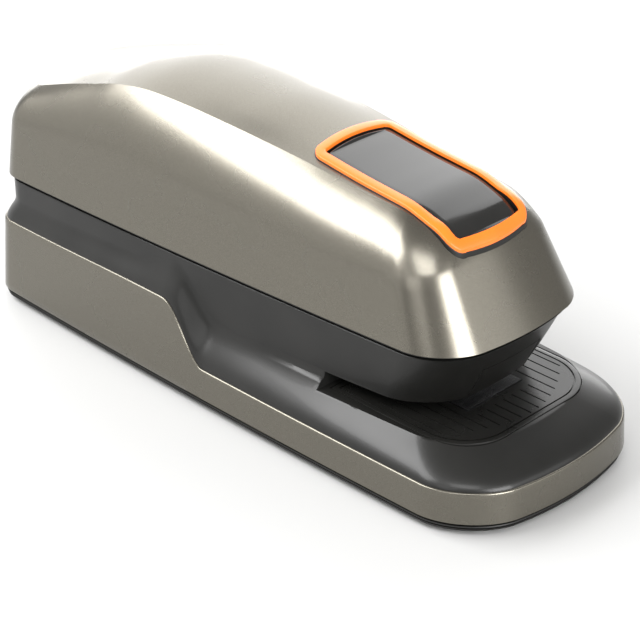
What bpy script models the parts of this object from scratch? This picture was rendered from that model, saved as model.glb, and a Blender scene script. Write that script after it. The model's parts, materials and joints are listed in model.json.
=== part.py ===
"""Compact electric stapler: a standalone Blender model, one object for each separate piece.

Frame: origin on the desk under the middle of the base, +X towards the stapling nose, +Y to the
stapler's left and +Z up. The named sizes are in millimetres, and MM turns them into metres.
"""
import math

import bmesh
import bpy
from mathutils import Vector

MM = 0.001
FIT = 0.3                                   # clearance between touching pieces

# ---- Driving dimensions -------------------------------------------------------------------
BASE_REAR_X, BASE_FRONT_X = -107.5, 110.5
CENTRE_X = 1.5                              # the base's middle, which build() moves to X = 0
BASE_REAR_W, BASE_FRONT_W = 39.35, 40.0     # base half width at each end
BASE_BOW = 2.0                              # how far the base's sides belly out
BASE_REAR_R, BASE_FRONT_R, BASE_FRONT_BOW = 9.0, 16.7, 8.2
FOOT_Z, FOOT_R = 1.2, 6.0
PAN_Z0, PAN_Z1 = 1.5, 4.2
BAND_Z0, BAND_WALL, BAND_DRAFT = 4.5, 1.6, 0.06
BAND_FRONT_Z, BAND_REAR_Z, BAND_CREST_Z = 14.5, 30.2, 32.0
STEP_X0, STEP_X1 = -20.0, -1.5              # where the band steps down towards the nose
SEAM_Z, SEAM_RISE = 47.5, 0.01              # cover seam height, and its rise along X
SEAM_REAR_X, SEAM_FRONT_X = -103.6, 90.6
SEAM_REAR_W, SEAM_FRONT_W, SEAM_BOW = 37.0, 32.0, 1.6
COVER_WALL = 2.0
DECK_Z, DECK_W, DECK_FRONT_X = 22.6, 32.3, 97.3
THROAT_TOP_Z, THROAT_X = 27.4, 40.5
NOSE_X = 76.5                               # nose front face at the throat
HOUSING_WALL = 2.2
FRAME_Y, FRAME_T = 18.5, 1.2
DRIVE_X = 72.0                              # driver blade centre
STAPLE_CROWN, STAPLE_LEG, WIRE = 12.7, 6.4, 0.6
BADGE_X0, BADGE_X1, BADGE_W, BADGE_R = 19.8, 76.4, 16.4, 4.6
RING_BAR, RING_PROUD = 3.0, 1.3
INLET_Z = 14.0
MODULE = 0.9                                # gear tooth module
PINION_TEETH, FIRST_TEETH, SECOND_TEETH, CRANK_TEETH = 8, 24, 32, 36
CRANK_THROW = 5.0
CRANK_X, CRANK_Z = -15.5, 55.6
LEVER_X = 20.0
LEVER_REST_DEG = 8.1                        # the lever's front arm above level at rest
LEVER_TIP, TIP_R = 48.5, 2.5
CAM_R, FORK_GAP = 9.0, 10.2
MOTOR_R = 13.85

CREASE_LINE = [(-101, 73.0), (-92.5, 75.7), (-79, 80.0), (-67, 83.4), (-57, 86.1), (-44, 88.0),
               (-28, 88.0), (-12, 87.1), (8, 85.5), (24, 83.9), (34, 82.6), (43, 81.6), (51, 80.9),
               (59, 80.0), (70, 76.5)]
SHOULDER_LINE = [(-102, 64.0), (-60, 65.0), (0, 65.0), (40, 63.5), (60, 64.5), (70, 67.0), (79, 69.5)]
CREASE_REAR_X, CREASE_FRONT_X = -99.6, 68.0
CREASE_REAR_W, CREASE_FRONT_W = 25.2, 16.6
SHOULDER_REAR_X, SHOULDER_FRONT_X = -102.3, 78.5
SHOULDER_REAR_W, SHOULDER_FRONT_W, SHOULDER_BOW = 34.7, 28.3, 2.4
CROWN = 3.5                                 # how far the top bulges above its crease line
BOSS_R, BOSS_TOP, SHANK_R = 3.6, 20.6, 1.3  # screw bosses inside the black body

COLOURS = {
    "silver": ((0.30, 0.28, 0.24, 1), 0.35, 0.8),
    "black": ((0.012, 0.012, 0.013, 1), 0.35, 0.0),
    "gloss": ((0.01, 0.01, 0.012, 1), 0.12, 0.0),
    "orange": ((0.95, 0.25, 0.02, 1), 0.35, 0.0),
    "steel": ((0.55, 0.55, 0.56, 1), 0.3, 1.0),
    "brass": ((0.6, 0.45, 0.18, 1), 0.35, 1.0),
    "rubber": ((0.03, 0.03, 0.03, 1), 0.8, 0.0),
    "nylon": ((0.75, 0.73, 0.66, 1), 0.5, 0.0),
    "board": ((0.02, 0.16, 0.06, 1), 0.5, 0.0),
}


# ---- Object helpers -----------------------------------------------------------------------
def material(name, slot):
    colour, roughness, metallic = COLOURS[slot]
    mat = bpy.data.materials.new(name)
    mat.use_nodes = True
    shader = mat.node_tree.nodes["Principled BSDF"]
    shader.inputs["Base Color"].default_value = colour
    shader.inputs["Roughness"].default_value = roughness
    shader.inputs["Metallic"].default_value = metallic
    return mat


def place(name, bm, slot, origin=(0, 0, 0), smooth=True):
    """Turn a bmesh in millimetres into an object whose origin is at origin, in millimetres."""
    bmesh.ops.recalc_face_normals(bm, faces=bm.faces)
    bmesh.ops.translate(bm, vec=-Vector(origin), verts=bm.verts)
    bmesh.ops.scale(bm, vec=(MM, MM, MM), verts=bm.verts)
    mesh = bpy.data.meshes.new(name)
    bm.to_mesh(mesh)
    bm.free()
    if smooth:
        mesh.shade_smooth()
        mesh.set_sharp_from_angle(angle=math.radians(35))
    obj = bpy.data.objects.new(name, mesh)
    obj.location = Vector(origin) * MM
    bpy.context.scene.collection.objects.link(obj)
    if slot:
        obj.data.materials.append(material(name, slot))
    return obj


def cutter(name, bm):
    obj = place(name, bm, None, smooth=False)
    obj.hide_render = True
    obj.display_type = "WIRE"
    return obj


def boolean(obj, tool, operation="DIFFERENCE"):
    mod = obj.modifiers.new(tool.name, "BOOLEAN")
    mod.operation = operation
    mod.object = tool
    mod.solver = "EXACT"


# ---- Mesh makers: each returns a closed bmesh in millimetres ---------------------------------
def skin(rings):
    """Join rings of equally many points with quads, and close the first and last ring."""
    bm = bmesh.new()
    rows = [[bm.verts.new(p) for p in ring] for ring in rings]
    for low, high in zip(rows, rows[1:]):
        for i in range(len(low)):
            j = (i + 1) % len(low)
            bm.faces.new((low[i], low[j], high[j], high[i]))
    bm.faces.new(reversed(rows[0]))
    bm.faces.new(rows[-1])
    return bm


def box(x0, x1, y0, y1, z0, z1):
    low = [(x0, y0, z0), (x1, y0, z0), (x1, y1, z0), (x0, y1, z0)]
    return skin([low, [(x, y, z1) for x, y, _ in low]])


def prism_y(points, y0, y1):
    """A plate: the outline in X and Z, run from y0 to y1."""
    return skin([[(x, y0, z) for x, z in points], [(x, y1, z) for x, z in points]])


def disc_points(cx, cz, radius, sides):
    return [(cx + radius * math.cos(2 * math.pi * k / sides),
             cz + radius * math.sin(2 * math.pi * k / sides)) for k in range(sides)]


def rod_y(cx, cz, radius, y0, y1, sides=20):
    return prism_y(disc_points(cx, cz, radius, sides), y0, y1)


def rod_z(cx, cy, radius, z0, z1, sides=20):
    ring = disc_points(cx, cy, radius, sides)
    return skin([[(x, y, z0) for x, y in ring], [(x, y, z1) for x, y in ring]])


def stepped_y(cx, cz, steps, sides=20):
    """A turned piece along Y. steps: (y, radius) pairs; both ends are closed flat."""
    return skin([[(x, y, z) for x, z in disc_points(cx, cz, r, sides)] for y, r in steps])


def gear_points(cx, cz, teeth, phase):
    """A toothed outline: four points for each tooth, thinned so that meshing teeth stay clear."""
    pitch_r = MODULE * teeth / 2
    tip, root = pitch_r + 0.75 * MODULE, pitch_r - 1.15 * MODULE
    points = []
    for k in range(teeth):
        mid = phase + 2 * math.pi * k / teeth
        for radius, share in ((root, -0.27), (tip, -0.10), (tip, 0.10), (root, 0.27)):
            angle = mid + share * 2 * math.pi / teeth
            points.append((cx + radius * math.cos(angle), cz + radius * math.sin(angle)))
    return points


def coil_z(cx, cy, radius, wire, z0, z1, turns, per_turn=12, sides=6):
    """A helical spring along Z: one closed tube of wire."""
    steps = turns * per_turn
    rings = []
    for k in range(steps + 1):
        angle = 2 * math.pi * k / per_turn
        centre = Vector((cx + radius * math.cos(angle), cy + radius * math.sin(angle),
                         z0 + wire + (z1 - z0 - 2 * wire) * k / steps))
        outward = Vector((math.cos(angle), math.sin(angle), 0))
        rings.append([centre + outward * wire * math.cos(2 * math.pi * s / sides)
                      + Vector((0, 0, wire * math.sin(2 * math.pi * s / sides)))
                      for s in range(sides)])
    return skin(rings)


# ---- The stapler's outlines -----------------------------------------------------------------
def smooth_step(value):
    t = min(max(value, 0.0), 1.0)
    return t * t * (3 - 2 * t)


def along(line, x):
    """Height on a line of (x, z) points, as a smooth curve through them."""
    if x <= line[0][0]:
        return line[0][1]
    for k in range(len(line) - 1):
        (x0, z0), (x1, z1) = line[k], line[k + 1]
        if x <= x1:
            before = line[k - 1] if k else line[k]
            after = line[k + 2] if k + 2 < len(line) else line[k + 1]
            slope0 = (z1 - before[1]) / (x1 - before[0])
            slope1 = (after[1] - z0) / (after[0] - x0)
            t, span = (x - x0) / (x1 - x0), x1 - x0
            return ((2 * t**3 - 3 * t**2 + 1) * z0 + (t**3 - 2 * t**2 + t) * span * slope0
                    + (3 * t**2 - 2 * t**3) * z1 + (t**3 - t**2) * span * slope1)
    return line[-1][1]


STATIONS = [-84, -68, -52, -38, -28, -22, -18.5, -15, -12, -9, -6, -3, 0, 4, 12, 24, 36, 48]


def corner_arc(start, corner, end, count):
    """A round corner between two points, as a conic arc with the corner as its control."""
    points = []
    for k in range(count + 1):
        t = k / count
        a, b, c = (1 - t) ** 2, 2 * t * (1 - t) * math.sqrt(0.5), t * t
        points.append(((a * start[0] + b * corner[0] + c * end[0]) / (a + b + c),
                       (a * start[1] + b * corner[1] + c * end[1]) / (a + b + c)))
    return points


def plan(rear_x, front_x, rear_w, front_w, bow, rear_r, front_r, front_bow, rear_bow=0.4):
    """A closed plan outline. Every outline has its points in the same order along it."""
    length = front_x - rear_x

    def half_width(x):
        u = (x - rear_x) / length
        return rear_w + (front_w - rear_w) * u + bow * 4 * u * (1 - u)

    def front_at(y):
        return front_x - front_bow * (y / front_w) ** 2

    def rear_at(y):
        return rear_x + rear_bow * (y / rear_w) ** 2

    rear_y = rear_w - rear_r
    turn_x = rear_at(rear_w) + rear_r
    half = [(rear_x, 0.0), (rear_at(rear_y * 0.5), rear_y * 0.5)]
    half += corner_arc((rear_at(rear_y), rear_y), (rear_at(rear_w), half_width(rear_x)),
                       (turn_x, half_width(turn_x)), 5)
    half += [(x, half_width(x)) for x in STATIONS]
    side_x = front_at(front_w) - front_r
    inner_y = front_w - front_r
    half += corner_arc((side_x, half_width(side_x)), (front_at(front_w), half_width(side_x + front_r)),
                       (front_at(inner_y), inner_y), 6)
    half += [(front_at(inner_y * 0.5), inner_y * 0.5), (front_x, 0.0)]
    return half + [(x, -y) for x, y in reversed(half[1:-1])]


def band_top(x):
    """Height of the side band's upper edge: high at the rear, low at the nose."""
    rear = BAND_REAR_Z + (BAND_CREST_Z - BAND_REAR_Z) * smooth_step((x + 107) / 85)
    return rear + (BAND_FRONT_Z - rear) * smooth_step((x - STEP_X0) / (STEP_X1 - STEP_X0))


def base_plan(inset):
    return plan(BASE_REAR_X + inset, BASE_FRONT_X - inset, BASE_REAR_W - inset, BASE_FRONT_W - inset,
                BASE_BOW, BASE_REAR_R - 0.5 * inset, BASE_FRONT_R - inset, BASE_FRONT_BOW)


def housing_ring(z, inset):
    """One level of the black body: the base shoulder runs into the wall under the cover seam."""
    outer = base_plan(BAND_WALL + 0.5 + BAND_DRAFT * (z - BAND_Z0) + inset)
    high = min(max((z - DECK_Z) / (SEAM_Z - DECK_Z), 0.0), 1.0)
    if z <= DECK_Z:
        front_x, front_w = DECK_FRONT_X - 7.0, DECK_W - 6.5
    else:
        low_w = 25.2
        front_x = NOSE_X + (SEAM_FRONT_X - 1.6 - NOSE_X) * high ** 0.8
        front_w = low_w + (SEAM_FRONT_W - 1.2 - low_w) * high
    wall = plan(SEAM_REAR_X + 1.4 + inset, front_x - inset, SEAM_REAR_W - 1.4 - inset,
                front_w - inset, SEAM_BOW * high + 4.0 * (1 - high), 8.0, 14.0 - 0.5 * inset, 4.5)
    ring = []
    for (ax, ay), (bx, by) in zip(outer, wall):
        rise = 14.0 - 6.0 * smooth_step((-ax - 10) / 30)
        share = 1 - smooth_step((z - band_top(ax) + 0.5) / rise)
        ring.append((bx + (ax - bx) * share, by + (ay - by) * share, z))
    return ring


def crease_half_width(x):
    share = (x - CREASE_REAR_X) / (CREASE_FRONT_X - CREASE_REAR_X)
    return CREASE_REAR_W + (CREASE_FRONT_W - CREASE_REAR_W) * share


def top_height(x, y):
    """The cover's crowned top."""
    return along(CREASE_LINE, x) + CROWN * (1 - min(abs(y) / crease_half_width(x), 1.0) ** 2)


def cover_rings(inset, lift, low_z=None):
    """Rings of the cover from its seam up to the crease, and the crowned top's inner rings."""
    seam = plan(SEAM_REAR_X + inset, SEAM_FRONT_X - inset, SEAM_REAR_W - inset,
                SEAM_FRONT_W - inset, SEAM_BOW, 9.2 - 0.5 * inset, 13.5 - 0.5 * inset, 4.8)
    shoulder = plan(SHOULDER_REAR_X + inset, SHOULDER_FRONT_X - inset, SHOULDER_REAR_W - inset,
                    SHOULDER_FRONT_W - inset, SHOULDER_BOW, 8.0, 11.0, 3.6)
    step = 0.7 * inset
    crease = plan(CREASE_REAR_X + step, CREASE_FRONT_X - step, CREASE_REAR_W - step,
                  CREASE_FRONT_W - step, 0.3, 5.0, 6.0, 3.0, 2.2)
    rings = []
    if low_z is not None:
        rings.append([(x, y, low_z) for x, y in seam])
    rings.append([(x, y, SEAM_Z + SEAM_RISE * x) for x, y in seam])
    tops = [along(SHOULDER_LINE, x) + lift for x, _ in shoulder]
    rings += [[(a[0] + (b[0] - a[0]) * t, a[1] + (b[1] - a[1]) * t,
                (SEAM_Z + SEAM_RISE * a[0]) * (1 - t) + z * t)
               for a, b, z in zip(seam, shoulder, tops)] for t in (0.5, 1.0)]
    for t in (0.2, 0.4, 0.6, 0.8, 1.0):
        ring = []
        for a, b, z in zip(shoulder, crease, tops):
            crest = top_height(*b) + lift
            toward_nose = smooth_step((a[0] - 58.0) / 16.0)
            in_share, up_share = 0.115 + 0.4 * toward_nose, 0.58 + 0.27 * toward_nose
            near, mid, far = (1 - t) ** 2, 2 * t * (1 - t), t * t
            ring.append((near * a[0] + mid * (a[0] + in_share * (b[0] - a[0])) + far * b[0],
                         near * a[1] + mid * (a[1] + in_share * (b[1] - a[1])) + far * b[1],
                         near * z + mid * (z + up_share * (crest - z)) + far * crest))
        rings.append(ring)
    return rings


def close_top(bm, row, lift):
    """Close a crease ring with a crowned grid of strips between its left and right halves."""
    count = len(row)
    half = count // 2
    strips = 6
    before = [row[0]]
    for i in range(1, half):
        left, right = row[i], row[count - i]
        line = [left]
        for s in range(1, strips):
            y = left.co.y + (right.co.y - left.co.y) * s / strips
            x = left.co.x
            line.append(bm.verts.new((x, y, top_height(x, y) + lift)))
        line.append(right)
        if len(before) == 1:
            for a, b in zip(line, line[1:]):
                bm.faces.new((before[0], a, b))
        else:
            for k in range(strips):
                bm.faces.new((before[k], line[k], line[k + 1], before[k + 1]))
        before = line
    for a, b in zip(before, before[1:]):
        bm.faces.new((a, row[half], b))


def cover_form(inset, lift, low_z):
    """The cover's solid form, closed underneath at low_z."""
    bm = bmesh.new()
    rings = cover_rings(inset, lift, low_z)
    rows = [[bm.verts.new(p) for p in ring] for ring in rings]
    for low, high in zip(rows, rows[1:]):
        for i in range(len(low)):
            j = (i + 1) % len(low)
            bm.faces.new((low[i], low[j], high[j], high[i]))
    bm.faces.new(rows[0])
    close_top(bm, rows[-1], lift)
    return bm


def badge_prism(grow, z0=60.0, z1=100.0):
    """The badge's rounded outline in plan, grown sideways, as an upright prism."""
    x0, x1, half, r = BADGE_X0 - grow, BADGE_X1 + grow, BADGE_W + grow, BADGE_R + grow
    points = corner_arc((x0, half - r), (x0, half), (x0 + r, half), 5)
    points += corner_arc((x1 - r, half), (x1, half), (x1, half - r), 5)
    points = [(x0 - 0.8, 0.0)] + points + [(x1 + 1.2, 0.0)]
    points += [(x, -y) for x, y in reversed(points[1:-1])]
    return skin([[(x, y, z0) for x, y in points], [(x, y, z1) for x, y in points]])


def plate_x(points, x0, x1):
    """A plate across the stapler: the outline in Y and Z, run from x0 to x1."""
    return skin([[(x0, y, z) for y, z in points], [(x1, y, z) for y, z in points]])


def rod_x(cy, cz, radius, x0, x1, sides=20):
    return plate_x(disc_points(cy, cz, radius, sides), x0, x1)


def rounded_deck(inset, z0, z1):
    """The deck's outline inside its rim: straight sides and a round front, from z0 to z1."""
    half, front, rear = DECK_W - 2.0 - inset, DECK_FRONT_X - 2.0 - inset, THROAT_X + 2.0 + inset
    radius = 17.0 - inset
    side = corner_arc((front - radius, half), (front, half), (front, half - radius), 8)
    points = [(rear, half)] + side
    points += [(x, -y) for x, y in reversed(points)]
    return skin([[(x, y, z0) for x, y in points], [(x, y, z1) for x, y in points]])


# ---- Casing -----------------------------------------------------------------------------------
SCREW_SPOTS = [(60.0, 26.0), (60.0, -26.0), (-88.0, 24.0), (-88.0, -24.0)]
FOOT_SPOTS = [(90.0, 24.0), (90.0, -24.0), (-97.0, 29.0), (-97.0, -29.0)]


def bottom_pan():
    rings = [base_plan(inset) for inset in (2.6, 1.2, 0.6, 0.6, 1.6, 1.6)]
    heights = (PAN_Z0, PAN_Z0 + 0.5, 2.4, 3.1, 3.2, PAN_Z1)
    pan = place("bottom_pan", skin([[(x, y, z) for x, y in ring] for ring, z in zip(rings, heights)]),
                "black")
    for k, (x, y) in enumerate(SCREW_SPOTS):
        holes = skin([[(px, py, z) for px, py in disc_points(x, y, r, 20)]
                      for r, z in ((2.9, 1.0), (2.9, 3.3), (1.6, 3.3), (1.6, 6.0))])
        boolean(pan, cutter(f"pan_hole_{k}", holes))


def feet_and_screws():
    corners = ["front_left", "front_right", "rear_left", "rear_right"]
    for corner, (x, y) in zip(corners, FOOT_SPOTS):
        place(f"foot_{corner}", rod_z(x, y, FOOT_R, 0.0, FOOT_Z, 24), "rubber", (x, y, 0))
    for corner, (x, y) in zip(corners, SCREW_SPOTS):
        screw = skin([[(px, py, z) for px, py in disc_points(x, y, r, 16)]
                      for r, z in ((2.6, 1.8), (2.6, 3.0), (SHANK_R, 3.0), (SHANK_R, 12.0))])
        place(f"pan_screw_{corner}", screw, "steel", (x, y, 1.8))


def side_band():
    """The silver band round the base: an open strip that leans inwards by BAND_DRAFT."""
    def strip(inset, share):
        ring = []
        for (x, y), (inner_x, inner_y) in zip(base_plan(inset), base_plan(inset + 1.0)):
            rise = (band_top(x) - BAND_Z0) * share
            lean = BAND_DRAFT * rise
            ring.append((x + (inner_x - x) * lean, y + (inner_y - y) * lean, BAND_Z0 + rise))
        return ring

    shares = (0.0, 0.5, 1.0)
    rows = [strip(0.0, share) for share in shares]
    inner = [strip(BAND_WALL, share) for share in reversed(shares)]
    bm = bmesh.new()
    loops = [[bm.verts.new(p) for p in row] for row in rows + inner]
    for low, high in zip(loops, loops[1:] + loops[:1]):
        for i in range(len(low)):
            j = (i + 1) % len(low)
            bm.faces.new((low[i], low[j], high[j], high[i]))
    band = place("side_band", bm, "silver")
    boolean(band, cutter("band_inlet_hole", rod_x(0, INLET_Z, 5.2, -120, -100)))


HOUSING_LEVELS = (4.6, 10.0, 14.2, 15.4, 17.2, 19.6, 22.6, 25.0, 27.4, 29.5, 31.5, 33.5, 36.0, 39.0,
                  43.0, 47.0)


def body_housing():
    """The black body: one moulding with the deck, the nose floor and the wall up to the seam."""
    rings = [housing_ring(z, 0.0) for z in HOUSING_LEVELS[:-1]]
    rings.append([(x, y, z + SEAM_RISE * x) for x, y, z in housing_ring(HOUSING_LEVELS[-1], 0.0)])
    housing = place("body_housing", skin(rings), "black")
    below, above = 3.0, 60.0
    inner = [housing_ring(z, HOUSING_WALL) for z in HOUSING_LEVELS]
    inner[0] = [(x, y, below) for x, y, _ in inner[0]]
    inner[-1] = [(x, y, above) for x, y, _ in inner[-1]]
    void = cutter("housing_void", skin(inner))
    boolean(void, cutter("throat_block", box(38.0, 130, -60, 60, DECK_Z - 2.4, THROAT_TOP_Z + 2.2)))
    boolean(housing, void)
    boolean(housing, cutter("throat", box(THROAT_X, 130, -60, 60, DECK_Z, THROAT_TOP_Z)))
    boolean(housing, cutter("deck_recess", rounded_deck(-FIT, DECK_Z - 1.5, DECK_Z + 1.0)))
    boolean(housing, cutter("nose_opening", box(DRIVE_X + 1.2, 120, -12.4, 12.4, 27.0, 38.6)))
    boolean(housing, cutter("blade_slot", box(70.9, 74.0, -8.4, 8.4, 26.0, 32.0)))
    boolean(housing, cutter("trigger_slot", box(42.0, 54.0, 12.6, 15.4, 25.0, 32.0)))
    boolean(housing, cutter("inlet_hole", rod_x(0, INLET_Z, 5.2, -120, -100)))
    screw_bosses(housing)


def screw_bosses(housing):
    """Four bosses that take the pan screws. A rib ties each rear one to the side wall."""
    bottom = HOUSING_LEVELS[0]
    for k, (x, y) in enumerate(SCREW_SPOTS):
        boolean(housing, cutter(f"boss_{k}", rod_z(x, y, BOSS_R, bottom, BOSS_TOP)), "UNION")
        if x < 0:
            wall_y = math.copysign(36.0, y)
            rib = box(x - 1.0, x + 1.0, min(y, wall_y), max(y, wall_y), bottom + 0.6, BOSS_TOP - 0.6)
            boolean(housing, cutter(f"boss_rib_{k}", rib), "UNION")
        boolean(housing, cutter(f"boss_hole_{k}", rod_z(x, y, SHANK_R + 0.2, 3.0, 13.0)))


def top_cover():
    cover = place("top_cover", cover_form(0.0, 0.0, None), "silver")
    boolean(cover, cutter("cover_void", cover_form(COVER_WALL, -COVER_WALL - 0.2, 40.0)))
    boolean(cover, cutter("badge_opening", badge_prism(FIT)))


def badge():
    ring = place("badge_ring", badge_prism(0.0), "orange")
    boolean(ring, cutter("ring_top", cover_form(0.0, RING_PROUD, 40.0)), "INTERSECT")
    boolean(ring, cutter("ring_bore", badge_prism(-RING_BAR)))
    boolean(ring, cutter("ring_under", cover_form(0.0, -3.0, 40.0)))
    button = place("release_button", badge_prism(-RING_BAR - FIT), "gloss", (48, 0, 80))
    boolean(button, cutter("button_top", cover_form(0.0, -0.4, 40.0)), "INTERSECT")
    boolean(button, cutter("button_under", cover_form(0.0, -4.4, 40.0)))


def deck():
    plate = place("deck_plate", rounded_deck(0.0, DECK_Z - 1.2, DECK_Z), "black", smooth=False)
    boolean(plate, cutter("anvil_window", box(64.7, 79.3, -12.3, 12.3, 20, 24)))
    for k in range(7):
        y = 4.0 * (k - 3) * 1.9
        groove = box(82.0, 90.0 - 0.12 * abs(y), y - 0.5, y + 0.5, DECK_Z - 0.5, DECK_Z + 1)
        boolean(plate, cutter(f"deck_groove_{k}", groove))
    anvil = place("anvil", box(65.0, 79.0, -12.0, 12.0, DECK_Z - 1.2, DECK_Z + 0.3), "steel",
                  smooth=False)
    for side in (1, -1):
        y0, y1 = sorted((side * 1.5, side * 8.0))
        boolean(anvil, cutter(f"staple_pocket_{side}", box(71.0, 73.4, y0, y1, DECK_Z - 0.4, 24)))


# ---- Frame and drive --------------------------------------------------------------------------
def polar(centre, radius, degrees):
    return (centre[0] + radius * math.cos(math.radians(degrees)),
            centre[1] + radius * math.sin(math.radians(degrees)))


def pitch(teeth_a, teeth_b):
    return MODULE * (teeth_a + teeth_b) / 2


CRANK_AT = (CRANK_X, CRANK_Z)
SECOND_DIR, FIRST_DIR, MOTOR_DIR = 200.0, 215.0, 225.0
SECOND_AT = polar(CRANK_AT, pitch(CRANK_TEETH, PINION_TEETH), SECOND_DIR)
FIRST_AT = polar(SECOND_AT, pitch(SECOND_TEETH, PINION_TEETH), FIRST_DIR)
MOTOR_AT = polar(FIRST_AT, pitch(FIRST_TEETH, PINION_TEETH), MOTOR_DIR)
LEVER_AT = (LEVER_X, CRANK_Z)
LATCH_AT = (60.0, 48.0)
TRIGGER_AT = (52.0, 34.0)


def frames():
    foot_z = PAN_Z1 + FIT
    outline = [(-78, foot_z), (28, foot_z), (28, 31), (66, 31), (66, 50), (72.9, 50), (72.9, 59), (64, 64),
               (50, 70), (44, 73.8), (10, 73.8), (-20, 78), (-50, 76), (-78, 60)]
    for side, name in ((1, "frame_left"), (-1, "frame_right")):
        y0, y1 = sorted((side * FRAME_Y, side * (FRAME_Y + FRAME_T)))
        plate = place(name, prism_y(outline, y0, y1), "steel", smooth=False)
        holes = [(CRANK_AT, 2.8), (LEVER_AT, 3.3)]
        if side < 0:
            holes += [(FIRST_AT, 1.8), (SECOND_AT, 1.8), (MOTOR_AT, 4.0)]
        for k, ((x, z), radius) in enumerate(holes):
            boolean(plate, cutter(f"{name}_hole_{k}", rod_y(x, z, radius, -25, 25)))
    for k, (x, z) in enumerate(((-70.0, 54.0), (14.0, 69.0))):
        place(f"frame_spacer_{k + 1}", rod_y(x, z, 2.5, -FRAME_Y + FIT, FRAME_Y - FIT, 16), "steel",
              (x, 0, z))


def gear_ring(centre, teeth, phase, bore, y0, y1):
    """A toothed wheel with a round bore, closed by faces between its outline and its bore."""
    outer = gear_points(*centre, teeth, phase)
    inner = [(centre[0] + bore * math.cos(math.atan2(z - centre[1], x - centre[0])),
              centre[1] + bore * math.sin(math.atan2(z - centre[1], x - centre[0])))
             for x, z in outer]
    bm = bmesh.new()
    rows = [[bm.verts.new((x, y, z)) for x, z in line]
            for line, y in ((outer, y0), (outer, y1), (inner, y1), (inner, y0))]
    for row, after in zip(rows, rows[1:] + rows[:1]):
        for i in range(len(outer)):
            j = (i + 1) % len(outer)
            bm.faces.new((row[i], row[j], after[j], after[i]))
    return bm


def mating_phase(direction, teeth):
    """The phase that puts a tooth gap where the neighbour, whose tooth points here, meshes."""
    return math.radians(direction) + math.pi + math.pi / teeth


def gears():
    toward_second, toward_first, toward_motor = (math.radians(d) for d in
                                                 (SECOND_DIR, FIRST_DIR, MOTOR_DIR))
    inner_layer, outer_layer = (-24.6, -22.0), (-28.0, -25.4)
    place("crank_gear", gear_ring(CRANK_AT, CRANK_TEETH, toward_second, 2.8, *inner_layer), "steel",
          (CRANK_AT[0], 0, CRANK_AT[1]), smooth=False)
    second = place("second_gear", gear_ring(SECOND_AT, SECOND_TEETH, toward_first, 1.8, *outer_layer),
                   "nylon", (SECOND_AT[0], 0, SECOND_AT[1]), smooth=False)
    boolean(second, cutter("second_pinion", gear_ring(SECOND_AT, PINION_TEETH,
                           mating_phase(SECOND_DIR, PINION_TEETH), 1.8, -25.9, -21.8)), "UNION")
    first = place("first_gear", gear_ring(FIRST_AT, FIRST_TEETH, toward_motor, 1.8, *inner_layer),
                  "nylon", (FIRST_AT[0], 0, FIRST_AT[1]), smooth=False)
    boolean(first, cutter("first_pinion", gear_ring(FIRST_AT, PINION_TEETH,
                          mating_phase(FIRST_DIR, PINION_TEETH), 1.8, -28.2, -24.1)), "UNION")
    shaft = rod_y(*MOTOR_AT, 1.5, -25.4, -18.4, 12)
    pinion = place("motor_pinion", prism_y(gear_points(*MOTOR_AT, PINION_TEETH,
                   mating_phase(MOTOR_DIR, PINION_TEETH)), -25.0, -21.8), "brass",
                   (MOTOR_AT[0], 0, MOTOR_AT[1]), smooth=False)
    boolean(pinion, cutter("motor_shaft", shaft), "UNION")
    for name, (x, z) in (("first_gear_pin", FIRST_AT), ("second_gear_pin", SECOND_AT)):
        place(name, rod_y(x, z, 1.5, -29.0, -17.5, 16), "steel", (x, 0, z))
    motor = stepped_y(*MOTOR_AT, [(-17.9, 5.0), (-16.9, 5.0), (-16.9, MOTOR_R), (14.0, MOTOR_R),
                                  (14.0, 6.0), (16.0, 6.0)], 28)
    place("motor", motor, "steel", (MOTOR_AT[0], 0, MOTOR_AT[1]))


def crank():
    x, z = CRANK_AT
    place("crank_shaft", rod_y(x, z, 2.5, -26.0, 20.5), "steel", (x, 0, z))
    cam = place("crank_cam", rod_y(x, z - CRANK_THROW, CAM_R, -5.0, 5.0, 36), "steel", (x, 0, z))
    boolean(cam, cutter("cam_bore", rod_y(x, z, 2.8, -8, 8)))


def drive_lever():
    half = [(-47, 14), (-20, 14), (-6, 6.5), (6, 6.5), (40, 2.4)]
    half += [(LEVER_TIP + TIP_R * math.sin(math.radians(a)), TIP_R * math.cos(math.radians(a)))
             for a in (0, 30, 60, 85)]
    outline = [(-47, FORK_GAP)] + half + [(u, -v) for u, v in reversed(half)] + [(-47, -FORK_GAP)]
    outline += [(-23.5, -FORK_GAP), (-23.5, FORK_GAP)]
    tilt = math.radians(LEVER_REST_DEG)
    outline = [(LEVER_X + u * math.cos(tilt) - v * math.sin(tilt),
                CRANK_Z + u * math.sin(tilt) + v * math.cos(tilt)) for u, v in outline]
    lever = place("drive_lever", prism_y(outline, -8.0, 8.0), "steel", (LEVER_X, 0, CRANK_Z),
                  smooth=False)
    boolean(lever, cutter("lever_bore", rod_y(*LEVER_AT, 3.3, -12, 12)))
    place("lever_pin", rod_y(*LEVER_AT, 3.0, -20.5, 20.5), "steel", (LEVER_X, 0, CRANK_Z))


RAM_Z = CRANK_Z + LEVER_TIP * math.sin(math.radians(LEVER_REST_DEG))


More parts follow.
